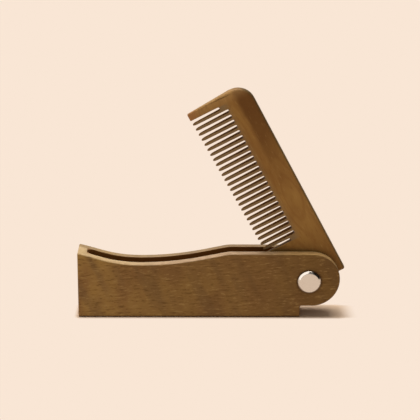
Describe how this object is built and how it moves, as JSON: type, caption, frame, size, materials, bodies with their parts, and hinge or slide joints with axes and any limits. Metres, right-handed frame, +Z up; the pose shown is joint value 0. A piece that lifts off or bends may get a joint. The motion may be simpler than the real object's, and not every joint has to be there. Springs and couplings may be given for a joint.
{
  "type": "folding beard comb",
  "caption": "Pocket wooden beard comb that folds like a jack-knife into a slotted wooden handle on one metal pivot.",
  "frame": {"origin": "on the handle's flat bottom face, under the middle of the handle's length and thickness", "axes": "+X along the handle to its rounded pivot end, +Z up, -Y towards the plain pivot head (front)"},
  "size_m": [0.0906, 0.0126, 0.0787],
  "materials": {
    "handle_wood": "oiled, fine open grain",
    "comb_wood": "polished",
    "polished_nickel": "polished nickel plate",
    "black_nylon": "matt nylon"
  },
  "bodies": {
    "handle_assembly": {"handle": "handle_wood", "pivot_post": "polished_nickel", "pivot_screw": "polished_nickel", "washer_front": "black_nylon", "washer_rear": "black_nylon"},
    "comb": {"comb_blade": "comb_wood"}
  },
  "joints": [
    {"name": "comb_pivot", "type": "hinge", "parent": "handle_assembly", "child": "comb", "pos_m": [0.03395, 0, 0.0129], "axis": [0, 1, 0], "range_deg": [-61.5, 118.5]}
  ]
}
